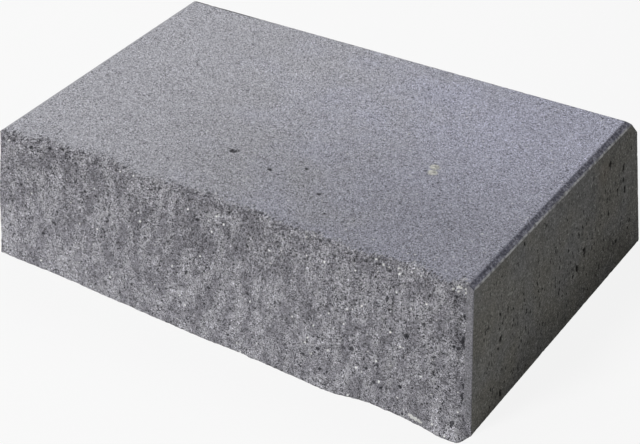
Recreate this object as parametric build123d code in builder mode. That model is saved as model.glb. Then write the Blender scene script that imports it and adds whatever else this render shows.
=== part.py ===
from build123d import *
import os
from math import exp, pi, radians, sin, tan

os.makedirs("parts", exist_ok=True)

# Step block of cast concrete with a split front, millimetres.
# X runs along the front, Y from the front to the back, Z up from the bed.
# The origin is the middle of the mould's footprint, on the bed.

# Cast body, measured on the bed
length = 548
depth = 387
height = 150
draft_angle = 4.8

# Eased edges of the tread: one along each end, a broader one along the back
end_ease_run = 5.2
end_ease_drop = 3.4
back_ease_run = 16
back_ease_drop = 18.5

# Moulded strip at the front corner beside the split, with the height of its broken foot
strip_width = 7.8
strip_foot = 20

# Split front: how far it swells, and its worn edges along the tread and beside the strip
split_swell = 16
split_edge_round = 2
shoulder_round = 2.5

# The split's lean, as shares of split_swell that it stands out from the mould's front
left_foot_share = -1.27
left_tread_share = -0.42
right_foot_share = 1.15
right_tread_share = 0.34

# Rolls over the split: swell share, waves along the front, half waves up it, start share
roll_shares = [
    (0.13, 3.2, 0.5, 0.1),
    (0.17, 2.3, 1, 0.55),
    (0.12, 4.6, 1.5, 0.3),
    (0.08, 7.1, 2.5, 0.8),
]

# Shell-shaped dent broken out of the foot: swell share, place along the front, half width
dent_swell_share = 0.5
dent_place_share = 0.86
dent_width_share = 0.085
dent_climb_share = 0.3

# Fall of the split towards the corner strip: swell share, half width along the front
fall_swell_share = 0.5
fall_width_share = 0.05

# Points taken along and up the split, which runs a little past the body all round
split_columns = 41
split_rows = 11
overrun_share = 0.06

draft_slope = tan(radians(draft_angle))
front_line = -depth / 2
end_line = length / 2

# The mould carries this much more concrete in front, which is split away
split_waste = 4 * split_swell


def swell_share(along, up):
    """Share of split_swell at a place given as shares of the length and the height."""
    foot = left_foot_share + (right_foot_share - left_foot_share) * along
    tread = left_tread_share + (right_tread_share - left_tread_share) * along
    swell = foot + (tread - foot) * up
    for reach, waves, climbs, start in roll_shares:
        swell += reach * sin(2 * pi * (waves * along + start)) * sin(pi * climbs * up)
    bow = 1 - (2 * up - 1) ** 4
    swell -= fall_swell_share * bow * exp(-(((1 - along) / fall_width_share) ** 2))
    beside = (along - dent_place_share) / dent_width_share
    above = up / dent_climb_share
    return swell - dent_swell_share * exp(-(beside**2) - above**2)


def split_point(column, row):
    """Point of the split, set out from the drafted front plane of the mould."""
    along = -overrun_share + (1 + 2 * overrun_share) * column / (split_columns - 1)
    up = -overrun_share + (1 + 2 * overrun_share) * row / (split_rows - 1)
    rise = height * up
    swell = split_swell * swell_share(along, up)
    return Vector(length * (along - 1 / 2), front_line + rise * draft_slope - swell, rise)


# The split itself, one sheet that rolls from end to end and from bed to tread
split_sheet = Face.make_surface_from_array_of_points(
    [[split_point(column, row) for column in range(split_columns)] for row in range(split_rows)]
)

# Front plane of the mould, leaning back by the draft, where the corner strip lies
strip_plane = Plane(
    origin=(0, front_line, 0),
    x_dir=(1, 0, 0),
    z_dir=(0, -1, draft_slope),
)

# Plane of the eased back edge, through its foot on the back face
back_ease_foot = height - back_ease_drop
back_ease_plane = Plane(
    origin=(0, depth / 2 - back_ease_foot * draft_slope, back_ease_foot),
    x_dir=(1, 0, 0),
    z_dir=(0, back_ease_drop, back_ease_run + back_ease_drop * draft_slope),
)

with BuildPart() as step_block:
    # Cast body, every side drafted so that it leaves the mould
    with BuildSketch():
        with Locations((0, -split_waste / 2)):
            Rectangle(length, depth + split_waste)
    extrude(amount=height, taper=draft_angle)

    # Eased tread edges at both ends
    tread = step_block.faces().sort_by(Axis.Z)[-1]
    end_edges = tread.edges().filter_by(Axis.Y)
    chamfer(end_edges, length=end_ease_run, length2=end_ease_drop, reference=tread)

    # Eased back edge, straight through from end to end
    split(bisect_by=back_ease_plane, keep=Keep.BOTTOM)

    # Corner strip, formed by a fillet in the mould, its foot broken across to the end
    strip_top = height + split_waste
    with BuildSketch(strip_plane):
        with BuildLine():
            Polyline(
                (end_line - strip_width - strip_foot * draft_slope, strip_foot),
                (end_line, 0),
                (end_line + split_waste, 0),
                (end_line + split_waste, strip_top),
                (end_line - strip_width - strip_top * draft_slope, strip_top),
                close=True,
            )
        make_face()
    extrude(amount=2 * split_waste, mode=Mode.SUBTRACT)

    # Front split off
    split(bisect_by=split_sheet, keep=Keep.TOP)

    # Front edge of the tread, worn round where it crumbled in the split
    tread = step_block.faces().filter_by(Plane.XY).sort_by(Axis.Z)[-1]
    split_edge = tread.edges().sort_by(Axis.Y)[0]
    fillet(split_edge, radius=split_edge_round)

    # Shoulder of the split, worn round where it stands out beside the corner strip
    split_face = step_block.faces().filter_by(GeomType.BSPLINE)[0]
    tall_edges = split_face.edges().filter_by(lambda edge: edge.length > height / 2)
    upright_edges = tall_edges.filter_by(lambda edge: edge.length < length / 2)
    fillet(upright_edges.sort_by(Axis.X)[-1], radius=shoulder_round)

step_block.part.label = "step_block"
export_step(step_block.part, "parts/step_block.step")
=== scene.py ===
import math

import bmesh
import bpy
import numpy as np
from mathutils import Matrix, Vector, geometry


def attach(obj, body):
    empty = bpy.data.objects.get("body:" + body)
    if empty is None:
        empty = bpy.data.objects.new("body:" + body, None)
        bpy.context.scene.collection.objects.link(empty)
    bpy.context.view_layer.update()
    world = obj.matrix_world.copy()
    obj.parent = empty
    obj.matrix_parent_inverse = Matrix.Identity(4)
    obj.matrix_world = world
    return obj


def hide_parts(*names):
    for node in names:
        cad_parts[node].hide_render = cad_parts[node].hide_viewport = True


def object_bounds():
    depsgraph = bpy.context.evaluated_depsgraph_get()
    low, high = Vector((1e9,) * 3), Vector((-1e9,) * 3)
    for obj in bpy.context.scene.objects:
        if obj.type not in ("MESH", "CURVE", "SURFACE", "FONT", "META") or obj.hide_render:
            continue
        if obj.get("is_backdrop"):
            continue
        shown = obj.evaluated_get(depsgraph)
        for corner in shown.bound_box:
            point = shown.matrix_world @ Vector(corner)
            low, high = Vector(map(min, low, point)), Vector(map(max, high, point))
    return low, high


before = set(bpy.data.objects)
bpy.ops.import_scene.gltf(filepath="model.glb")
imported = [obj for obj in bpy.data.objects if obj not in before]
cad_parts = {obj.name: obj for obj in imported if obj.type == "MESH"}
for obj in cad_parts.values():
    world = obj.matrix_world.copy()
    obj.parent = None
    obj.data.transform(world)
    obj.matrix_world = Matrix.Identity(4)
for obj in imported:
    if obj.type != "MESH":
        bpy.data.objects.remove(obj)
cad_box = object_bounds()


# Camera
# Stands to the +X side of the front and looks down on the tread, so that the split
# front, the tread and one moulded end are all seen.
camera_yaw = math.radians(29.955)
camera_pitch = math.radians(32.008)
camera_roll = math.radians(1.013)
camera_spot = (0.8714, -1.5090, 1.1239)
camera_data = bpy.data.cameras.new("view_camera")
camera_data.sensor_width = 36
camera_data.lens = 113.37
camera_data.clip_end = 30
camera = bpy.data.objects.new("view_camera", camera_data)
camera.matrix_world = (
    Matrix.Translation(camera_spot)
    @ Matrix.Rotation(camera_yaw, 4, "Z")
    @ Matrix.Rotation(math.radians(90) - camera_pitch, 4, "X")
    @ Matrix.Rotation(camera_roll, 4, "Z")
)
bpy.context.scene.collection.objects.link(camera)
bpy.context.scene.camera = camera


# Step block
# One block of dense concrete, cast in a drafted steel mould with its front joined to a
# second block, then split off it in a press. The split leaves a rolling, stony front.
# The other faces keep the skin of the mould, pitted where air was caught against it.
# Sizes are in millimetres and become metres when the mesh is made.
length, depth, height = 548, 387, 150
draft = math.tan(math.radians(4.8))
ease_run, ease_drop = 5.2, 3.4
back_ease_run, back_ease_drop = 16, 18.5
strip_width, strip_foot = 7.8, 20
swell_reach = 16
front_line = -depth / 2
ease_foot = height - ease_drop
back_ease_foot = height - back_ease_drop
ease_slant = (ease_run + ease_drop * draft) / ease_drop
back_ease_slant = (back_ease_run + back_ease_drop * draft) / back_ease_drop
rng = np.random.default_rng(21)


def end_line(z):
    """Half the length at height z, the eased tread edge of the ends included."""
    flank = length / 2 - np.minimum(z, ease_foot) * draft
    return flank - np.maximum(z - ease_foot, 0) * ease_slant


def back_line(z):
    """The back face at height z, its eased tread edge included."""
    flank = depth / 2 - np.minimum(z, back_ease_foot) * draft
    return flank - np.maximum(z - back_ease_foot, 0) * back_ease_slant


def split_line(x, z):
    """The split before its grain: a lean, long rolls, the fall at one end, the dent."""
    along, up = x / length + 0.5, z / height
    foot = -1.27 + 2.42 * along
    top = -0.42 + 0.76 * along
    swell = foot + (top - foot) * up
    rolls = (0.13, 3.2, 0.5, 0.1), (0.17, 2.3, 1, 0.55), (0.12, 4.6, 1.5, 0.3), (0.08, 7.1, 2.5, 0.8)
    for reach, waves, climbs, start in rolls:
        swell += reach * np.sin(2 * math.pi * (waves * along + start)) * np.sin(math.pi * climbs * up)
    corner_fall = 0.5 * (1 - (2 * up - 1) ** 4) * np.exp(-(((1 - along) / 0.05) ** 2))
    dent = 0.5 * np.exp(-(((along - 0.86) / 0.085) ** 2) - (up / 0.3) ** 2)
    return front_line + z * draft - swell_reach * (swell - corner_fall - dent)


def smooth_step(low, high, value):
    """A soft step from 0 to 1 as the value goes from low to high."""
    t = np.clip((value - low) / (high - low), 0, 1)
    return t * t * (3 - 2 * t)


class Shell:
    """The block's points and faces, and what each point carries for the materials."""

    def __init__(self):
        self.points = []
        self.traits = []
        self.faces = []
        self.finishes = []

    def add_points(self, spots, hollow_shade=0.0, split=0.0, strip=0.0, mark=0.0):
        """Adds points with their traits and returns their numbers."""
        spots = np.asarray(spots, float).reshape(-1, 3)
        first = len(self.points)
        self.points.extend(spots.tolist())
        carried = np.empty((len(spots), 4))
        for number, trait in enumerate((hollow_shade, split, strip, mark)):
            carried[:, number] = np.ravel(trait)
        self.traits.extend(carried.tolist())
        return list(range(first, first + len(spots)))

    def add_face(self, corners, material, smooth=False):
        """Adds a face, leaving out a corner that it names twice."""
        self.faces.append(list(dict.fromkeys(corners)))
        self.finishes.append((material, smooth))


shell = Shell()
split_material, skin_material, ease_material, arris_highlight_material = range(4)

# The front is one sheet: rows climb the split from the bed, turn over the crumbled edge
# and run a little way back over the tread. Columns run along the split, round its
# shoulder, back to the corner strip and across that to the arris.
cell = 1.25
band_end = -158
tread_rows = 18
split_cols, round_cols, return_cols, strip_cols = 415, 10, 4, 8
face_rows = round(height / cell)
round_end = split_cols + round_cols
return_end = round_end + return_cols
rows = face_rows + tread_rows + 1
cols = return_end + strip_cols + 1
row, column = np.mgrid[0:rows, 0:cols].astype(float)
row_z = np.minimum(row * cell, height)
ease_row = round(ease_foot / cell)
row_z[ease_row] = ease_foot
row_back = np.clip((row - face_rows) / tread_rows, 0, 1)
reach = np.clip(column / split_cols, 0, 1)
turn = np.clip((column - split_cols) / round_cols, 0, 1)
return_run = np.clip((column - round_end) / return_cols, 0, 1)
strip_run = np.clip((column - return_end) / strip_cols, 0, 1)


def soften(field, up, across):
    """The field blurred by so many millimetres up and across the sheet."""
    climb = np.fft.fftfreq(rows)[:, None] * up / cell
    run = np.fft.rfftfreq(cols)[None, :] * across / cell
    waves = np.fft.rfft2(field) * np.exp(-2 * math.pi**2 * (climb**2 + run**2))
    return np.fft.irfft2(waves, (rows, cols))


def grain(up, across):
    """Seeded random relief of unit spread, with lumps about so large up and across."""
    field = soften(rng.standard_normal((rows, cols)), up / 2, across / 2)
    return (field - field.mean()) / field.std()


# Plan of the front at every row: the split, its worn shoulder, the return to the strip
# and the strip. Crevices are broken out where the split stands off the strip, and the
# foot of the split is a few millimetres fuller or leaner than its rolls.
strip_y = front_line + row_z * draft
strip_left = strip_width * smooth_step(-3, strip_foot, row_z)
strip_left += 0.3 * grain(6, 900) * smooth_step(4, 25, row_z)
strip_edge = end_line(row_z) - np.maximum(strip_left, 0.5)
gentle = smooth_step(8, 30, row_z)
shoulder_wide, shoulder_deep = 12, 12
split_end = strip_edge - shoulder_wide
sheet_x = -end_line(row_z) + (split_end + end_line(row_z)) * reach
split_y = split_line(sheet_x, row_z)
crevice = sum(
    amount * np.exp(-(((row_z - z) / reach_z) ** 2))
    for z, reach_z, amount in ((118, 4, 0.8), (93, 6, 1), (49, 5, 0.6), (37, 5, 0.7))
)
strip_step = 0.12 + 0.15 * np.abs(grain(8, 900)) + 0.9 * crevice
deep_now = np.clip(strip_y - split_y - strip_step, 0.3, shoulder_deep)
sheet_x = sheet_x + shoulder_wide * turn
blunt = turn**3.6
sheet_y = split_y + deep_now * (blunt + (smooth_step(0, 1, turn) - blunt) * gentle)
flare_reach = 14
fuller = np.interp(
    sheet_x,
    (-245, -196, -145, -62, -33, 5, 24, 95, 136, 156, 172, 190, 219, 229, 247, 262),
    (0, -1.4, 0, 0.9, 1.4, 1.2, 0, 1.5, 3.1, 0.4, 0, 2.7, 2.8, 1.5, 2.6, 0.6),
)
sheet_y = sheet_y - fuller * np.exp(-((row_z / flare_reach) ** 2)) * (1 - turn)
sheet_y = sheet_y + (strip_y - sheet_y) * return_run
sheet_x = sheet_x + (end_line(row_z) - sheet_x) * strip_run

# Over the tread the sheet's rows draw level with a straight line across the block
level_inset = 16
level_x = np.interp(
    column,
    [0, split_cols, return_end, cols - 1],
    [-end_line(height), strip_edge[-1, 0] - level_inset, strip_edge[-1, 0], end_line(height)],
)
sheet_x = sheet_x + (level_x - sheet_x) * row_back
sheet_y = sheet_y + (band_end - sheet_y) * row_back

# Distance from the tread's front edge, up the split and on over the tread. The edge
# crumbled unevenly, so the band that it left wanders.
from_edge = np.where(row_back > 0, sheet_y - sheet_y[face_rows], row_z - height)
wander = 1.6 * grain(60, 16) + 1.1 * grain(14, 6)
from_worn = from_edge + wander
over_edge = smooth_step(-9, 9, from_edge) * math.pi / 2
on_split = (1 - return_run) * smooth_step(18, 5, from_worn)
crumble = np.exp(-(((from_worn - 0.5) / np.where(from_worn < 0.5, 7.5, 11)) ** 2))
worn_round = 5

# How far the grain cuts in from the plan: upright flutes, lumps parted by creases,
# stones and sand, and deeper crumbs along the tread's edge
rough = -0.38 * grain(34, 10) - 0.42 * (np.abs(grain(10, 9)) - 0.8)
rough *= smooth_step(-14, 10, row_z)
rough -= 0.3 * grain(4.6, 3.4) + 0.36 * grain(2, 1.6)
rough += 0.65 * crumble * np.clip(0.1 + 0.9 * grain(4.6, 2) + 0.5 * grain(2.2, 1.6), -0.6, 2.2)
mark = np.zeros((rows, cols))


def press(field, spots, low, high, sizes, amounts):
    """Raises or sinks so many random round spots of the sheet."""
    for _ in range(spots):
        x, s = rng.uniform(low[0], high[0]), rng.uniform(low[1], high[1])
        dab(field, x, s, rng.uniform(*sizes), rng.uniform(*amounts))


def dab(field, x, s, radius, amount):
    """Raises or sinks one round spot; s is its distance from the tread's edge."""
    near_row = np.abs(from_edge[:, 0] - s) < radius + 3
    patch = slice(int(np.argmax(near_row)), rows - int(np.argmax(near_row[::-1])))
    away = ((sheet_x[patch] - x) ** 2 + (from_edge[patch] - s) ** 2) / radius**2
    field[patch] += amount * np.clip(1 - away, 0, 1) ** 0.6


press(rough, spots=900, low=(-268, -149), high=(258, 2), sizes=(1.5, 3.4), amounts=(-0.7, 0.65))
press(rough, spots=700, low=(-262, -11), high=(252, 4), sizes=(1.1, 2.3), amounts=(0.3, 1.5))
press(rough, spots=380, low=(-264, -146), high=(256, -8), sizes=(1.1, 2.2), amounts=(0.4, 1.5))

# Dark pits and stones, pale chips and flakes, where the front shows the plainest ones
# The pits are sunk and painted dark as shade; the stones are dark of their own
pit_sink, pit_shade_and_stone_mark, chip_mark = 1.1, -1, 0.9
for x, z, radius in (
    (-222, 141, 1.8), (-202, 144, 2.2), (-188, 148, 2), (-162, 108, 1.8), (-147, 109, 2), (-203, 58, 2.4),
    (-218, 41, 2), (-138, 77, 1.7), (-126, 51, 1.8), (-28, 123, 2.4), (-24, 129, 1.8), (30, 62, 2.2),
    (99, 26, 2.2), (114, 38, 2.4), (118, 18, 2.2), (150, 51, 2.8), (177, 44, 2.2), (166, 36, 1.7),
    (204, 84, 2.6), (219, 100, 2.2), (180, 113, 2.2), (201, 28, 2.6), (181, 19, 1.8), (258, 12, 3.2),
    (250, 88, 2), (254, 86, 2.2),
):
    dab(mark, x, z - height, radius, pit_shade_and_stone_mark)
    dab(rough, x, z - height, radius, pit_sink)
for x, z, radius in (
    (-130, 100, 1.5), (-179, 91, 1.1), (-169, 104, 1), (-107, 106, 1.1), (-70, 87, 1), (-74, 82, 1.1),
    (56, 105, 1.2), (58, 109, 1), (-3, 137, 1), (125, 41, 1.5), (108, 31, 1.2), (167, 55, 1.2),
    (165, 72, 1), (231, 68, 1.3), (234, 34, 1.2), (131, 27, 1.1), (208, 7, 1.1), (229, 31, 1),
    (244, 146, 1.6), (247, 147.5, 1.5), (250, 147, 1.5), (255, 146, 2.4), (255, 142, 1.8), (255, 138, 1.3),
    (172, 143, 1.6), (177, 141, 1.4), (186, 143, 1.3), (92, 146, 1.4), (106, 30, 1),
    (215, 5.5, 1.8), (218, 5, 2.3), (222, 5, 2.4), (226, 5, 2.3), (229, 4.5, 1.7),
):
    dab(mark, x, z - height, radius, chip_mark)
mark = np.clip(mark, -1, 1)

# Crevices beside the strip are sunk and painted dark as shade, and the split's hollows are painted
# darker than the lumps round them, the lumps lighter: partly dust, partly painted shade and light
beside_strip = np.exp(-(((column - round_end + 0.4) / 2.2) ** 2))
in_crevice = np.clip(crevice, 0, 1) * beside_strip * (strip_run == 0)
rough += 0.9 * in_crevice
hollow_shade = np.clip((rough - soften(rough, 2.6, 2.6)) / 1.1, -1.3, 1.3) * on_split
hollow_shade *= 1 - 0.9 * np.exp(-(((column - round_end) / 5) ** 2))
hollow_shade = np.maximum(hollow_shade, 1.3 * in_crevice)
mark = np.minimum(mark, np.where(in_crevice > 0.3, -1.2 * in_crevice, 1))

# The tread's edge is rounded by wear. The cut fades out over the tread and at the strip,
# and is shallower at the bed and at the far end, so that the outline stays trim there.
cut = 0.4 + 0.7 * reach + rough * (0.5 + 0.5 * smooth_step(0, 9, row_z))
cut *= 0.4 + 0.6 * smooth_step(0, 8, sheet_x + end_line(row_z))
cut += 0.41 * worn_round * np.clip(1 - np.abs(from_worn) / worn_round, 0, 1) ** 2
cut *= np.where(from_edge < 0, 1, smooth_step(16, 0, from_worn)) * (1 - strip_run)
cut *= 1 - 0.75 * return_run
cut *= 1 - 0.9 * gentle * turn**2 * (1 - np.clip(crevice, 0, 1))
cut[:, return_end:] = 0

facing = turn * (1 - gentle)
inward_x = np.sin(facing) * np.cos(over_edge) * (1 - strip_run)
inward_y = np.cos(facing) * np.cos(over_edge)
sheet_z = np.clip(row_z - np.sin(over_edge) * cut, 0, height)
sheet_x = sheet_x - inward_x * cut
sheet_y = np.maximum(sheet_y + inward_y * cut, cad_box[0][1] * 1000)
sheet_z[ease_row, 0] = ease_foot
sheet_z[0] = 0
sheet_x[:, 0] = -end_line(sheet_z[:, 0])
sheet_x[:, -1] = end_line(sheet_z[:, -1])
sheet_y[:, -1] += 0.5 * (1 - row_back[:, 0])

sheet = np.stack([sheet_x, sheet_y, sheet_z], axis=-1)
on_strip = (strip_run > 0) * smooth_step(6, 22, row_z)
split_now = np.where(from_edge < 0, 1, smooth_step(15, -3, from_worn))
at = np.array(shell.add_points(sheet, hollow_shade, split_now, on_strip, mark)).reshape(rows, cols)
quads = np.stack([at[:-1, :-1], at[:-1, 1:], at[1:, 1:], at[1:, :-1]], axis=-1).reshape(-1, 4)
for quad in quads.tolist():
    shell.add_face(quad, split_material, smooth=True)


def unit(vector):
    """The vector at a length of one."""
    vector = np.asarray(vector, float)
    return vector / np.linalg.norm(vector)


# Planes of the moulded faces, and the back corners of the block that they leave
normals = {
    "tread": unit((0, 0, 1)),
    "bed": unit((0, 0, -1)),
    "back": unit((0, 1, draft)),
    "back_ease": unit((0, 1, back_ease_slant)),
}
corner_at = {}
levels = {"top": height, "ease": ease_foot, "shoulder": back_ease_foot, "foot": 0}
for side, name in ((-1, "left"), (1, "right")):
    normals[name] = unit((side, 0, draft))
    normals[name + "_ease"] = unit((side, 0, ease_slant))
    for level, z in levels.items():
        corner_at[name, level] = np.array([side * end_line(z), back_line(z), z])


def face_corner(middle, toward):
    """The point of a face just inside one of the block's corners."""
    corner_inset = 0.8
    inward = sum(unit(other - middle) for other in toward)
    return shell.add_points(middle + corner_inset * inward)[0]


def worn_arris(start, finish, plane_a, plane_b, broad=(0.3, 0.6), chipped=1.0):
    """Points along an arris, one row on each of the two faces it parts, with chips."""
    start, finish = np.asarray(start, float), np.asarray(finish, float)
    run, along = np.linalg.norm(finish - start), unit(finish - start)
    point_gap, chip_gap, widest = 2.4, 70, 2.2
    chip_halves, chip_widths = (2, 5), (0.4, 1.5)
    count = max(int(run / point_gap), 2)
    share = (np.arange(1, count) + rng.uniform(-0.3, 0.3, count - 1)) / count
    chips = np.zeros(count - 1)
    for _ in range(rng.poisson(run / chip_gap)):
        away = np.abs(share - rng.uniform(0, 1)) * run / rng.uniform(*chip_halves)
        chips = np.maximum(chips, rng.uniform(*chip_widths) * np.clip(1 - away, 0, 1))
    made = []
    for plane, other in ((plane_a, plane_b), (plane_b, plane_a)):
        into = np.cross(normals[plane], along)
        into *= -np.sign(into @ normals[other])
        width = rng.uniform(*broad, count - 1) + chips * chipped * rng.uniform(0.7, 1.2, count - 1)
        width = np.minimum(width, widest) * np.clip(np.minimum(share, 1 - share) * run / 5, 0.4, 1)
        made.append(shell.add_points(start + share[:, None] * (finish - start) + width[:, None] * into))
    return made


def facet(line_a, line_b, material):
    """The narrow worn face between two rows of points."""
    for a, b, c, d in zip(line_a, line_a[1:], line_b[1:], line_b):
        shell.add_face((a, b, c, d), material)


def sink_pit(middle_u, middle_v, half_wide, half_tall, deep):
    """Rings of one pit over a flat face: place on the face, depth and painted shade."""
    sides = 11 if max(half_wide, half_tall) > 1.4 else 7
    tilt, first_turn = rng.uniform(-0.35, 0.35), rng.uniform(0, 2 * math.pi)
    jag = rng.uniform(0.72, 1.15, sides)
    for share, sunk in ((1, 0), (0.88, 0.62), (0.5, 0.95), (0, 1)):
        count = sides if share else 1
        turns = first_turn + 2 * math.pi * np.arange(count) / count
        wide = half_wide * share * jag[:count] * np.cos(turns)
        tall = half_tall * share * jag[:count] * np.sin(turns)
        ring_u = middle_u + wide * math.cos(tilt) - tall * math.sin(tilt)
        ring_v = middle_v + wide * math.sin(tilt) + tall * math.cos(tilt)
        yield ring_u, ring_v, sunk * deep, min(sunk * deep / 0.8, 1) * 2


def pave(outline, plane, material, pits=()):
    """Faces over a flat outline, round the pits that are sunk into it."""
    outward = normals[plane]
    flat_x = unit(np.cross((0, 0, 1) if abs(outward[2]) < 0.9 else (0, 1, 0), outward))
    flat_y = np.cross(outward, flat_x)
    origin = np.array(shell.points[outline[0]])
    rim = [(np.array(shell.points[k]) - origin) @ np.array([flat_x, flat_y]).T for k in outline]
    border = np.array(rim)
    twice_area = np.sum(border[:, 0] * np.roll(border[:, 1], -1) - border[:, 1] * np.roll(border[:, 0], -1))
    numbers, flat = list(outline), [tuple(p) for p in rim]
    sunk_points, taken = set(), []
    jag_room, rim_gap, pit_gap = 1.2, 0.8, 0.4
    for middle, half_wide, half_tall, deep in pits:
        u, v = (middle - origin) @ flat_x, (middle - origin) @ flat_y
        size = max(half_wide, half_tall) * jag_room
        off_rim = np.hypot(border[:, 0] - u, border[:, 1] - v).min() > size + rim_gap
        if not off_rim or any(math.hypot(u - a, v - b) < size + c + pit_gap for a, b, c in taken):
            continue
        taken.append((u, v, size))
        for ring_u, ring_v, sunk, dark in sink_pit(u, v, half_wide, half_tall, deep):
            spots = origin + ring_u[:, None] * flat_x + ring_v[:, None] * flat_y - outward * sunk
            fresh = shell.add_points(spots, dark)
            numbers += fresh
            flat += zip(ring_u, ring_v)
            sunk_points.update(fresh if sunk else ())
    edge_count = len(outline)
    vectors = [Vector(p) for p in flat]
    found = geometry.delaunay_2d_cdt(vectors, [], [list(range(edge_count))], 1, 1e-6, True)
    triangles = [[numbers[found[3][k][0]] for k in triangle] for triangle in found[2]]
    loop = outline if twice_area > 0 else outline[::-1]
    rim_edges = set(zip(loop, loop[1:] + loop[:1]))
    owner = {(corners[i - 1], corners[i]): k for k, corners in enumerate(triangles) for i in range(3)}
    waiting = [owner[edge] for edge in rim_edges if edge in owner]
    inside = set()
    while waiting:
        k = waiting.pop()
        if k in inside:
            continue
        inside.add(k)
        for i in range(3):
            edge = triangles[k][i - 1], triangles[k][i]
            if edge not in rim_edges and edge[::-1] in owner:
                waiting.append(owner[edge[::-1]])
    for k in sorted(inside):
        shell.add_face(triangles[k], material, smooth=any(corner in sunk_points for corner in triangles[k]))


def scatter(count, low, high, sizes, tall, place):
    """Random small pits over a face; place turns two numbers into a point on it."""
    made = []
    for _ in range(count):
        u, v = rng.uniform(low[0], high[0]), rng.uniform(low[1], high[1])
        half = rng.uniform(*sizes) * rng.choice([0.6, 0.8, 1])
        made.append((np.array(place(u, v)), half, half * rng.uniform(*tall), half * rng.uniform(0.7, 1.3)))
    return made


def cluster(groups, low, high, place):
    """Upright runs of narrow pits, where air climbed the wall of the mould."""
    made = []
    for _ in range(groups):
        u, v = rng.uniform(low[0], high[0]), rng.uniform(low[1], high[1])
        for _ in range(rng.integers(3, 9)):
            spot = np.array(place(u + rng.normal(0, 3.5), np.clip(v + rng.normal(0, 9), low[1], high[1])))
            half = rng.uniform(0.75, 1.6)
            made.append((spot, half, half * rng.uniform(1.2, 3.2), half * rng.uniform(1, 1.6)))
    return made


# Worn arrises round the ends, from the front sheet to the back corners
chains = {}
corners = {}
for side, name, edge_col in ((-1, "left", 0), (1, "right", cols - 1)):
    easing = name + "_ease"
    top, ease, shoulder, foot = (corner_at[name, level] for level in levels)
    far_top, across = corner_at["right" if side < 0 else "left", "top"], np.array([-side, 0, 0])
    first = [int(at[k, edge_col]) for k in (rows - 1, ease_row, 0)]
    first_tread, first_ease, first_bed = first
    start_tread, start_ease, start_bed = (np.array(shell.points[k]) for k in first)
    now = {
        "tread_top": face_corner(top, (start_tread, far_top)),
        "ease_top": face_corner(top, (start_tread, ease)),
        "slant_top": face_corner(top, (far_top, ease)),
        "ease_low": face_corner(ease, (start_ease, top)),
        "end_ease": face_corner(ease, (start_ease, shoulder)),
        "slant_ease": face_corner(ease, (top, shoulder)),
        "end_shoulder": face_corner(shoulder, (ease, foot)),
        "slant_low": face_corner(shoulder, (ease, shoulder + across)),
        "back_shoulder": face_corner(shoulder, (foot, shoulder + across)),
        "end_foot": face_corner(foot, (start_bed, shoulder)),
        "back_foot": face_corner(foot, (shoulder, foot + across)),
        "bed_foot": face_corner(foot, (start_bed, foot + across)),
    }
    for key, start, finish, planes, ends_a, ends_b, material in (
        ("tread_ease", start_tread, top, ("tread", easing),
         (first_tread, now["tread_top"]), (first_tread, now["ease_top"]), ease_material),
        ("ease_end", start_ease, ease, (easing, name),
         (first_ease, now["ease_low"]), (first_ease, now["end_ease"]), arris_highlight_material),
        ("end_bed", start_bed, foot, (name, "bed"),
         (first_bed, now["end_foot"]), (first_bed, now["bed_foot"]), skin_material),
        ("ease_slant", top, ease, (easing, "back_ease"),
         (now["ease_top"], now["ease_low"]), (now["slant_top"], now["slant_ease"]), skin_material),
        ("end_slant", ease, shoulder, (name, "back_ease"),
         (now["end_ease"], now["end_shoulder"]), (now["slant_ease"], now["slant_low"]), skin_material),
        ("end_back", shoulder, foot, (name, "back"),
         (now["end_shoulder"], now["end_foot"]), (now["back_shoulder"], now["back_foot"]), skin_material),
    ):
        broad = (0.8, 1.5) if material == arris_highlight_material else (0.3, 0.6)
        chipped = 0.4 if key == "end_bed" else 1.0
        line_a, line_b = worn_arris(start, finish, *planes, broad, chipped)
        chains[name, key] = [ends_a[0]] + line_a + [ends_a[1]], [ends_b[0]] + line_b + [ends_b[1]]
        facet(*chains[name, key], material)
    for trio in (
        ("tread_top", "ease_top", "slant_top"),
        ("ease_low", "end_ease", "slant_ease"),
        ("end_shoulder", "slant_low", "back_shoulder"),
        ("end_foot", "back_foot", "bed_foot"),
    ):
        shell.add_face([now[key] for key in trio], skin_material)
    corners[name] = now

# Worn arrises along the back, from corner to corner
for key, level, planes, end_a, end_b in (
    ("tread_slant", "top", ("tread", "back_ease"), "tread_top", "slant_top"),
    ("slant_back", "shoulder", ("back_ease", "back"), "slant_low", "back_shoulder"),
    ("back_bed", "foot", ("back", "bed"), "back_foot", "bed_foot"),
):
    line_a, line_b = worn_arris(corner_at["left", level], corner_at["right", level], *planes)
    chains[key] = (
        [corners["left"][end_a]] + line_a + [corners["right"][end_a]],
        [corners["left"][end_b]] + line_b + [corners["right"][end_b]],
    )
    facet(*chains[key], skin_material)


def outline_of(*lines):
    """One closed outline from rows of points that meet end to end."""
    return list(dict.fromkeys(number for line in lines for number in line))


# Tread, with its plainest pits; the rest are fine and spread over it
tread_pits = [
    (np.array([x, y, height]), wide, tall, deep)
    for x, y, wide, tall, deep in (
        (-43, -90, 6.4, 4.4, 2.5), (5, -103, 3.4, 2.4, 1.6), (34, -83, 2.8, 2.6, 1.8),
        (67, -117, 3, 2.4, 1.8), (90, -144, 2.2, 1.6, 1.2), (-62, -96, 1.4, 1.2, 1),
        (150, -100, 1.5, 1.2, 1),
    )
]
tread_pits += scatter(
    110, low=(-245, -150), high=(245, 158), sizes=(0.6, 1.3), tall=(0.7, 1.3),
    place=lambda u, v: (u, v, height),
)
pave(
    outline_of(
        at[-1].tolist(),
        chains["right", "tread_ease"][0],
        chains["tread_slant"][0][::-1],
        chains["left", "tread_ease"][0][::-1],
    ),
    "tread",
    split_material,
    tread_pits,
)

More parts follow.
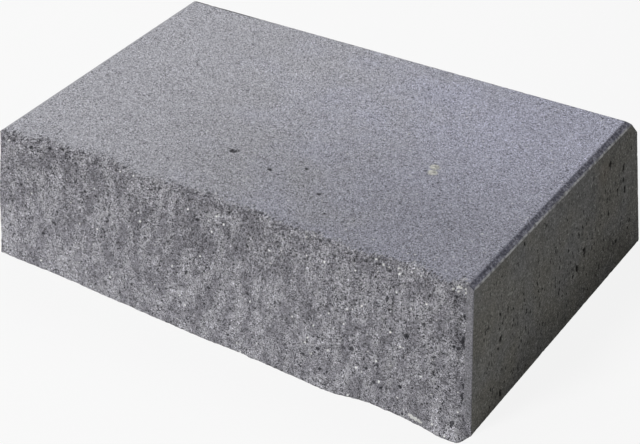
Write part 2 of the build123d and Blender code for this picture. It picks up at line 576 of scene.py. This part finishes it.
# Eased back edge, back and bed
pave(
    outline_of(
        chains["tread_slant"][1],
        chains["right", "ease_slant"][1],
        chains["right", "end_slant"][1],
        chains["slant_back"][0][::-1],
        chains["left", "end_slant"][1][::-1],
        chains["left", "ease_slant"][1][::-1],
    ),
    "back_ease",
    skin_material,
    scatter(
        60, low=(-250, 133), high=(250, 148), sizes=(0.6, 1.4), tall=(0.8, 1.3),
        place=lambda u, v: (u, back_line(v), v),
    ),
)
pave(
    outline_of(
        chains["slant_back"][1],
        chains["right", "end_back"][1],
        chains["back_bed"][0][::-1],
        chains["left", "end_back"][1][::-1],
    ),
    "back",
    skin_material,
    cluster(22, low=(-255, 8), high=(255, 122), place=lambda u, v: (u, back_line(v), v))
    + scatter(
        120, low=(-262, 4), high=(262, 126), sizes=(0.5, 1.3), tall=(1, 2.2),
        place=lambda u, v: (u, back_line(v), v),
    ),
)
pave(
    outline_of(
        at[0].tolist(),
        chains["right", "end_bed"][1],
        chains["back_bed"][1][::-1],
        chains["left", "end_bed"][1][::-1],
    ),
    "bed",
    skin_material,
)

# Ends and their eased edges. The end that is seen has its plainest pits where they are,
# in small groups, which are larger in the rear half.
rear_growth, highest = 1.35, 143
for side, name, edge_col in ((-1, "left", 0), (1, "right", cols - 1)):
    pave(
        outline_of(
            at[ease_row:, edge_col].tolist(),
            chains[name, "tread_ease"][1],
            chains[name, "ease_slant"][0],
            chains[name, "ease_end"][0][::-1],
        ),
        name + "_ease",
        ease_material,
        scatter(
            130, low=(-150, 0.9), high=(160, 2.5), sizes=(0.5, 1.0), tall=(0.8, 1.2),
            place=lambda u, v: (side * end_line(ease_foot + v), u, ease_foot + v),
        ),
    )
    end_pits = []
    if side > 0:
        for y, z, wide, tall in (
            (-131, 66, 4.2, 4.6), (-127, 16, 3.6, 3.8), (-101, 83, 2.2, 4.4), (-129, 129, 2, 3.2),
            (-79, 141, 2.6, 2.2), (-7, 50, 4.4, 3), (54, 61, 2.8, 3.2), (39, 94, 2.4, 2.8),
            (41, 52, 3.6, 2.4), (31, 46, 2.6, 2.6), (-95, 36, 2, 4.6), (-49, 73, 1.8, 3.2),
            (-81, 87, 1.8, 3.4), (113, 129, 3.4, 3.2), (152, 104, 3.8, 6.4), (151, 86, 3.2, 5.4),
            (92, 80, 1.6, 3.6), (111, 69, 1.8, 3), (163, 36, 2, 3.2), (82, 18, 1.8, 2.8),
            (-68, 62, 1.5, 3), (-144, 72, 1.4, 3), (-155, 117, 1.4, 3), (-166, 92, 1.2, 3),
            (135, 91, 2.4, 5), (131, 32, 2.2, 2.8), (166, 118, 2.8, 4), (-2, 97, 1.4, 2),
            (-105, 72, 1.4, 3.4), (-92, 47, 1.4, 3), (22, 66, 1.5, 2.6), (60, 72, 1.4, 2.4),
            (-137, 60, 1.6, 3.2), (-121, 73, 1.5, 2.8), (104, 24, 1.5, 2.6), (143, 74, 1.3, 3.4),
        ):
            for _ in range(3 + int(wide)):
                level = min(z + rng.normal(0, 0.6 * tall), highest)
                half = wide * rng.uniform(0.35, 0.95) * (rear_growth if y > 0 else 1)
                spot = np.array([end_line(level), y + rng.normal(0, 0.7 * wide), level])
                end_pits.append((spot, half, half * rng.uniform(0.8, 1.9), 1.1 * half))
    end_pits += cluster(
        46, low=(-165, 8), high=(168, 124), place=lambda u, v: (side * end_line(v), u, v)
    )
    end_pits += scatter(
        220, low=(-180, 5), high=(175, 142), sizes=(0.45, 1.0), tall=(0.8, 2.4),
        place=lambda u, v: (side * end_line(v), u, v),
    )
    pave(
        outline_of(
            at[: ease_row + 1, edge_col].tolist(),
            chains[name, "ease_end"][1],
            chains[name, "end_slant"][0],
            chains[name, "end_back"][0],
            chains[name, "end_bed"][0][::-1],
        ),
        name,
        skin_material,
        end_pits,
    )

block_mesh = bpy.data.meshes.new("cast_block")
block_mesh.from_pydata((np.array(shell.points) / 1000).tolist(), [], shell.faces)
block_mesh.validate()
traits = np.array(shell.traits, np.float32)
for number, name in enumerate(("hollow_shade", "split", "strip", "mark")):
    block_mesh.attributes.new(name, "FLOAT", "POINT").data.foreach_set("value", traits[:, number].copy())
for polygon, (material, smooth) in zip(block_mesh.polygons, shell.finishes):
    polygon.material_index = material
    polygon.use_smooth = smooth
turner = bmesh.new()
turner.from_mesh(block_mesh)
bmesh.ops.recalc_face_normals(turner, faces=turner.faces[:])
turner.to_mesh(block_mesh)
turner.free()
block = bpy.data.objects.new("cast_block", block_mesh)
bpy.context.scene.collection.objects.link(block)


class Strand:
    """A shader socket that can be written in sums, differences and products."""

    def __init__(self, tree, socket=None):
        self.tree = tree
        self.socket = socket

    def node(self, kind, settings=None, sockets=None, out=0):
        """Adds a node, sets it up, then gives its sockets their values or links."""
        made = self.tree.nodes.new(kind)
        for name, value in (settings or {}).items():
            setattr(made, name, value)
        for name, value in (sockets or {}).items():
            named = [s for s in made.inputs if s.identifier == name]
            named += [s for s in made.inputs if s.name == name and s.enabled]
            if isinstance(value, Strand):
                self.tree.links.new(value.socket, named[0])
            else:
                named[0].default_value = value
        if isinstance(out, int):
            return Strand(self.tree, made.outputs[out] if len(made.outputs) else None)
        return Strand(self.tree, [s for s in made.outputs if out in (s.identifier, s.name)][0])

    def maths(self, operation, *values):
        """One step of maths on up to three values."""
        names = ("Value", "Value_001", "Value_002")
        return self.node("ShaderNodeMath", {"operation": operation}, dict(zip(names, values)))

    def __add__(self, other):
        return self.maths("ADD", self, other)

    __radd__ = __add__

    def __mul__(self, other):
        return self.maths("MULTIPLY", self, other)

    __rmul__ = __mul__

    def __sub__(self, other):
        return self.maths("SUBTRACT", self, other)

    def __rsub__(self, other):
        return self.maths("SUBTRACT", other, self)

    def __gt__(self, other):
        return self.maths("GREATER_THAN", self, other)

    def fade(self, low, high, start=0.0, finish=1.0):
        """A soft step from start to finish as the value goes from low to high."""
        return self.node(
            "ShaderNodeMapRange",
            {"interpolation_type": "SMOOTHSTEP"},
            {"Value": self, "From Min": low, "From Max": high, "To Min": start, "To Max": finish},
        )

    def over(self, mask, colour):
        """This colour with another laid over it where the mask is one."""
        sockets = {"Factor_Float": mask, "A_Color": self, "B_Color": colour}
        return self.node("ShaderNodeMix", {"data_type": "RGBA"}, sockets, "Result_Color")

    def blend(self, first, second):
        """A colour between two, by this value."""
        sockets = {"Factor_Float": self, "A_Color": (*first, 1), "B_Color": (*second, 1)}
        return self.node("ShaderNodeMix", {"data_type": "RGBA"}, sockets, "Result_Color")

    def vector_maths(self, operation, sockets, out=0):
        """One step of vector maths on this colour or place."""
        return self.node("ShaderNodeVectorMath", {"operation": operation}, {"Vector": self, **sockets}, out)

    def times(self, factor):
        """This colour or vector, scaled by a value."""
        return self.vector_maths("SCALE", {"Scale": factor})

    def stretch(self, scale):
        """This place, scaled along each axis by its own number."""
        return self.vector_maths("MULTIPLY", {"Vector_001": scale})

    def part(self, axis):
        """One of the three numbers of a colour or place."""
        return self.node("ShaderNodeSeparateXYZ", {}, {"Vector": self}, axis)

    def noise(self, scale, detail=2.0, roughness=0.5, out="Fac"):
        """Soft random variation at this place."""
        sockets = {"Vector": self, "Scale": scale, "Detail": detail, "Roughness": roughness}
        return self.node("ShaderNodeTexNoise", {}, sockets, out)

    def jostled(self, scale, reach):
        """This place, shifted at random by up to reach, so that grains lose their round shape."""
        shift = self.noise(scale, 1.0, 0.5, "Color").times(reach)
        return self.vector_maths("ADD", {"Vector_001": shift})

    def grains(self, scale):
        """A random colour for each grain of sand, so many to the metre."""
        return self.node("ShaderNodeTexVoronoi", {}, {"Vector": self, "Scale": scale}, "Color")

    def flecks(self, scale, share, size):
        """A chosen share of the grains, each drawn as a fleck of its own size."""
        sockets = {"Vector": self, "Scale": scale}
        away = self.node("ShaderNodeTexVoronoi", {}, sockets, "Distance")
        own = self.grains(scale)
        reach = own.part("Y") * 0.6 + 0.4
        return (own.part("X") > 1 - share) * (away - reach * size).fade(0.0, -0.12)

    def lines(self, scale, width):
        """Thin wandering lines, where soft variation at this place crosses its middle."""
        level = self.noise(scale, 1.0, 0.5) - 0.5
        return self.maths("ABSOLUTE", level).fade(width, 0.0)

    def away_from(self, spot):
        """Distance of this place from a spot."""
        return self.vector_maths("DISTANCE", {"Vector_001": spot}, "Value")

    def trait(self, name):
        """What the mesh carries at each point under this name."""
        return self.node("ShaderNodeAttribute", {"attribute_name": name}, {}, "Fac")

    def surface(self, colour, roughness, relief, distance):
        """Ends the material: a matt surface of this colour with a fine relief."""
        sockets = {"Height": relief, "Distance": distance, "Strength": 1.0}
        bump = self.node("ShaderNodeBump", {}, sockets, "Normal")
        sockets = {"Base Color": colour, "Roughness": roughness, "Specular IOR Level": 0.25, "Normal": bump}
        shader = self.node("ShaderNodeBsdfPrincipled", {}, sockets, "BSDF")
        self.node("ShaderNodeOutputMaterial", {}, {"Surface": shader})


def start_material(mesh, name):
    """A new material on the mesh, with the place on the object to start from."""
    material = bpy.data.materials.new(name)
    material.use_nodes = True
    material.node_tree.nodes.clear()
    mesh.materials.append(material)
    return Strand(material.node_tree).node("ShaderNodeTexCoord", {}, {}, "Object")


# Tread and split are one concrete. The tread is sandy, faintly blue towards the right, with one
# beige stone. Painted shade darkens it towards the front, and along the right end beside the shaded
# eased edge; a dark line runs along the left of the back edge.
tread_plain, tread_blue = (0.33, 0.33, 0.36), (0.326, 0.33, 0.4)
tread_grit, tread_quartz = (0.08, 0.08, 0.095, 1), (0.7, 0.7, 0.7, 1)
beige_dark, beige_pale = (0.26, 0.26, 0.23), (0.8, 0.79, 0.73)
ease_shade_grey, back_edge_black = (0.15, 0.15, 0.185, 1), (0.05, 0.05, 0.055, 1)
place = start_material(block_mesh, "split_concrete")
sand_place = place.jostled(700, 0.0014)
sand = sand_place.grains(1500)
sparkle = sand.part("X") * sand.part("X") - sand.part("Z") * sand.part("Z")
lumps = place.noise(420, 2.0, 0.6)
cloud = place.noise(22, 2.0, 0.5)
front = place.part("Y").fade(0.1, -0.13) * place.part("X").fade(-0.29, 0.1)
lean_blue = (place.part("X") + cloud * 0.3).fade(0.0, 0.35) - front * 0.35
tread_colour = lean_blue.blend(tread_plain, tread_blue)
# Painted shade: pits in the tread are darkened by their depth
tread_tone = sparkle * 1.55 + cloud * 0.12 - place.trait("hollow_shade") * 0.3 + 1.1
# Painted shade: the tread darkened towards the front, a little more on the right
painted_front_shade = front * (place.part("X").fade(0.0, 0.2) * 0.05 + 0.21)
tread_colour = tread_colour.times(tread_tone).times(1 - painted_front_shade)
tread_colour = tread_colour.over(sand_place.flecks(340, 0.024, 0.62) * 0.8, tread_grit)
tread_colour = tread_colour.over(sand_place.flecks(480, 0.022, 0.6) * 0.7, tread_quartz)
stone_ends = (0.1372, -0.0155, 0.1507), (0.1401, -0.0255, 0.1507)
from_stone = place.maths("MINIMUM", *(sand_place.away_from(spot) for spot in stone_ends))
beige = (from_stone + lumps * 0.003).fade(0.0072, 0.0054)
beige_colour = sand_place.grains(600).part("X").blend(beige_dark, beige_pale)
tread_colour = tread_colour.over(beige * 0.9, beige_colour)
# Painted shade: a dark band along the right end, beside the eased edge that turns from the light
ease_painted_shade = (place.part("X") + lumps * 0.006).fade(0.2563, 0.2592)
tread_colour = tread_colour.over(ease_painted_shade * 0.75, ease_shade_grey)
# A dark line along the left of the back edge
dark_back_edge = (place.part("Y") + lumps * 0.004).fade(0.1641, 0.1655) * place.part("X").fade(-0.15, -0.2)
tread_colour = tread_colour.over(dark_back_edge * 0.85, back_edge_black)

# The split is stony: paste left dark and pale in soft upright flutes, sand, chips, thin
# pale veins, dark grit and white quartz. The moulded strip beside it is plainer.
paste_dark, paste_pale = (0.246, 0.242, 0.267), (0.378, 0.373, 0.404)
strip_dark, strip_pale = (0.243, 0.24, 0.262), (0.273, 0.27, 0.292)
fine_grit, coarse_grit_and_pit_shade = (0.045, 0.046, 0.053, 1), (0.04, 0.04, 0.047, 1)
vein_pale, chip_pale = (0.52, 0.52, 0.54, 1), (0.8, 0.8, 0.78, 1)
quartz = (0.95, 0.95, 0.94, 1)
upright = place.stretch((1, 1, 0.45))
flute = upright.noise(76, 4.0, 0.6)
strokes = upright.noise(330, 2.0, 0.65)
chips = upright.jostled(500, 0.0016).grains(560)
low = place.part("Z").fade(0.13, 0.02)
split_colour = flute.fade(0.34, 0.66).blend(paste_dark, paste_pale)
patch = flute.fade(0.36, 0.6)
left = place.part("X").fade(-0.05, -0.25)
split_tone = sparkle * (patch * 0.8 + left * 0.3 + 1.2) + chips.part("X") * 0.3 + strokes * 0.8
split_tone = split_tone + low * 0.2 + left * (low * 0.14 - 0.04) - place.part("X") * 0.13 + 0.355
# Painted shade in the split's hollows and painted light on its lumps, partly dust
split_colour = split_colour.times(split_tone - place.trait("hollow_shade") * 0.33)
veins = (upright.lines(150, 0.03) + upright.lines(260, 0.04)) * flute.fade(0.46, 0.58)
split_colour = split_colour.over(veins * 0.5, vein_pale)
split_colour = split_colour.over(sand_place.flecks(400, 0.06, 0.55) * 0.85, fine_grit)
split_colour = split_colour.over(sand_place.flecks(245, 0.03, 0.52) * 0.85, coarse_grit_and_pit_shade)
split_colour = split_colour.over(sand_place.flecks(345, 0.019, 0.56), quartz)
# Painted shade in the pits and crevices, and the dark stones' own colour, where the mark is low
spot = place.trait("mark") + (lumps - 0.5) * 1.3
split_colour = split_colour.over((spot * -1).fade(0.32, 0.55) * 0.85, coarse_grit_and_pit_shade)
split_colour = split_colour.over(spot.fade(0.36, 0.6) * 0.9, chip_pale)
strip_colour = flute.blend(strip_dark, strip_pale).times(sparkle * 0.8 + 1)
split_colour = split_colour.over(place.trait("strip"), strip_colour)

# Where tread and split meet, the edge is broken into dark and pale crumbs, the dark partly painted shade
crumb_dark_and_shade, crumb_pale = (0.055, 0.055, 0.065, 1), (0.62, 0.62, 0.64, 1)
deepest_hollow_shade = (0.045, 0.045, 0.052, 1)
broken = (place.trait("split") + (lumps - 0.5) * 2.2).fade(0.4, 0.6)
colour = tread_colour.over(broken, split_colour)
crumbs = place.stretch((1, 0.45, 1)).jostled(600, 0.0015)
edge = place.trait("split").fade(0.02, 0.3) * place.trait("split").fade(1.0, 0.9)
colour = colour.over(crumbs.flecks(480, 0.34, 0.66) * edge * 0.85, crumb_dark_and_shade)
colour = colour.over(crumbs.flecks(570, 0.24, 0.62) * edge * 0.6, crumb_pale)
# Painted shade: the deepest hollows, the bottoms of pits, painted nearly black
colour = colour.over(place.trait("hollow_shade").fade(1.35, 2.0) * 0.85, deepest_hollow_shade)
relief = sand.part("Y") * 0.4 + (chips.part("Z") * 0.25 + lumps * 0.9) * broken + lumps * 0.2
place.surface(colour, 0.9, relief, 0.0007)

# Ends, back and bed keep the mould's skin: darker, faintly olive, in soft upright runs,
# with dark pores, fine scores, pale sand and one faint spot of rust
skin_olive, skin_grey = (0.214, 0.208, 0.186), (0.206, 0.206, 0.201)
pore_black, score_black = (0.03, 0.03, 0.029, 1), (0.035, 0.035, 0.034, 1)
pit_shade_black, skin_fleck = (0.02, 0.02, 0.019, 1), (0.46, 0.46, 0.43, 1)
rust_brown, rust_spot = (0.24, 0.19, 0.14, 1), (0.2635, 0.101, 0.125)
place = start_material(block_mesh, "mould_skin")
sand = place.jostled(700, 0.0014).grains(750)
sparkle = sand.part("X") * sand.part("X")
lumps = place.noise(330, 2.0, 0.6)
runs = place.stretch((1, 1, 0.22)).noise(110, 3.0, 0.6)
cloud = place.noise(16, 2.0, 0.5)
# Painted shade: the skin darkens towards the foot, where it meets the floor; it is also darker towards the
# back
foot = place.part("Z").fade(0.07, 0.0)
rear = place.part("Y").fade(-0.18, 0.19)
colour = cloud.fade(0.35, 0.65).blend(skin_olive, skin_grey)
tone = sparkle * 0.9 + lumps * 0.7 + runs * 0.7 + cloud * 0.2
colour = colour.times(tone - foot * 0.14 - rear * 0.27 + 0.1)
specks = place.stretch((1, 1, 0.5)).jostled(500, 0.002).flecks(340, 0.2, 0.62) * runs.fade(0.46, 0.56)
colour = colour.over(specks * 0.8, pore_black)
scores = place.stretch((1, 1, 0.6)).jostled(260, 0.004).lines(150, 0.022)
colour = colour.over(scores * place.noise(34, 2.0, 0.6).fade(0.5, 0.6) * 0.75, score_black)
colour = colour.over(place.jostled(500, 0.002).flecks(420, 0.1, 0.6) * 0.75, skin_fleck)
rust = place.away_from(rust_spot).fade(0.02, 0.004)
colour = colour.over(rust * 0.22, rust_brown)
# Painted shade fills the pits sunk into the skin
colour = colour.over(place.trait("hollow_shade").fade(0.1, 1.2) * 0.85, pit_shade_black)
place.surface(colour, 0.75, sand.part("Z") * 0.3 + lumps * 1.2 + runs, 0.0004)

# Eased edges, finely pitted. The one at the right end is painted dark with shade, most of all
# along its upper half; the other is pale like the tread.
ease_shade_dark, ease_shade_pale = (0.092, 0.093, 0.122), (0.25, 0.251, 0.295)
ease_left, ease_pit_shade = (0.4, 0.4, 0.425, 1), (0.02, 0.02, 0.026, 1)
place = start_material(block_mesh, "ease_concrete")
sand = place.jostled(700, 0.0014).grains(800)
grit = place.noise(300, 2.0, 0.6)
# Painted shade: the eased edge darker along its upper half
ease_painted_shade = place.part("Z").fade(0.1466, 0.1482)
tone = (grit - ease_painted_shade * 0.17 + 0.1).fade(0.35, 0.62)
colour = tone.blend(ease_shade_dark, ease_shade_pale).times(sand.part("X") * 0.9 + 0.55)
colour = colour.over(place.part("X").fade(0.05, -0.05) * 0.9, ease_left)
# Painted shade fills the pits sunk into the eased edge
colour = colour.over(place.trait("hollow_shade").fade(0.1, 1.2) * 0.8, ease_pit_shade)
place.surface(colour, 0.85, sand.part("Z") * 0.4 + grit * 1.5, 0.0006)

# Arris under the eased edge: a painted highlight, its narrow worn face painted pale
arris_highlight_dark, arris_highlight_pale = (0.28, 0.28, 0.29), (0.64, 0.64, 0.65)
place = start_material(block_mesh, "painted_arris_highlight")
grit = place.noise(160, 3.0, 0.6)
colour = grit.fade(0.36, 0.54).blend(arris_highlight_dark, arris_highlight_pale)
place.surface(colour, 0.85, grit, 0.0003)

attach(block, "root")
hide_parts("step_block")


# Floor and light
# A pale floor that runs out of sight, and two soft lamps: a broad one high to the front
# left for the split, a nearer one over the back left that falls off across the tread.
floor_half = 12
floor_corners = [(-floor_half, -floor_half, 0), (floor_half, -floor_half, 0)]
floor_corners += [(floor_half, floor_half, 0), (-floor_half, floor_half, 0)]
floor_mesh = bpy.data.meshes.new("studio_floor")
floor_mesh.from_pydata(floor_corners, [], [(0, 1, 2, 3)])
floor = bpy.data.objects.new("studio_floor", floor_mesh)
bpy.context.scene.collection.objects.link(floor)
net = start_material(floor_mesh, "floor_paper")
seen = net.node("ShaderNodeLightPath", {}, {}, "Is Camera Ray")
paper = net.node("ShaderNodeBsdfDiffuse", {}, {"Color": (0.6, 0.6, 0.6, 1)}, "BSDF")
glow = net.node("ShaderNodeEmission", {}, {"Color": (1, 1, 1, 1), "Strength": 1.0}, "Emission")
mixed = net.node("ShaderNodeMixShader", {}, {"Fac": seen * 0.87, "Shader": paper, "Shader_001": glow})
net.node("ShaderNodeOutputMaterial", {}, {"Surface": mixed})
floor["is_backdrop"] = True


def soft_lamp(name, spot, aim, size, power):
    """A round lamp at a spot, turned to what it lights."""
    lamp_data = bpy.data.lights.new(name, "AREA")
    lamp_data.shape = "DISK"
    lamp_data.size = size
    lamp_data.energy = power
    lamp = bpy.data.objects.new(name, lamp_data)
    lamp.location = spot
    lamp.rotation_euler = (Vector(aim) - Vector(spot)).to_track_quat("-Z", "Y").to_euler()
    bpy.context.scene.collection.objects.link(lamp)


soft_lamp("front_lamp", spot=(-0.8, -2.3, 2.3), aim=(0, 0, 0.05), size=0.9, power=68)
soft_lamp("back_lamp", spot=(-0.5, 0.55, 1.25), aim=(-0.1, 0.05, 0.1), size=0.8, power=7)

world = bpy.data.worlds.new("studio_air")
world.use_nodes = True
bpy.context.scene.world = world
world.node_tree.nodes.clear()
net = Strand(world.node_tree)
seen = net.node("ShaderNodeLightPath", {}, {}, "Is Camera Ray")
air = net.node("ShaderNodeBackground", {}, {"Color": (1, 1, 1, 1), "Strength": seen * 0.78 + 0.22})
net.node("ShaderNodeOutputWorld", {}, {"Surface": air})

bpy.context.scene.view_settings.view_transform = "Standard"

made_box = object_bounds()
boxes = {"cad": cad_box, "visual": made_box}
{name: [[float(v) for v in corner] for corner in box] for name, box in boxes.items()}
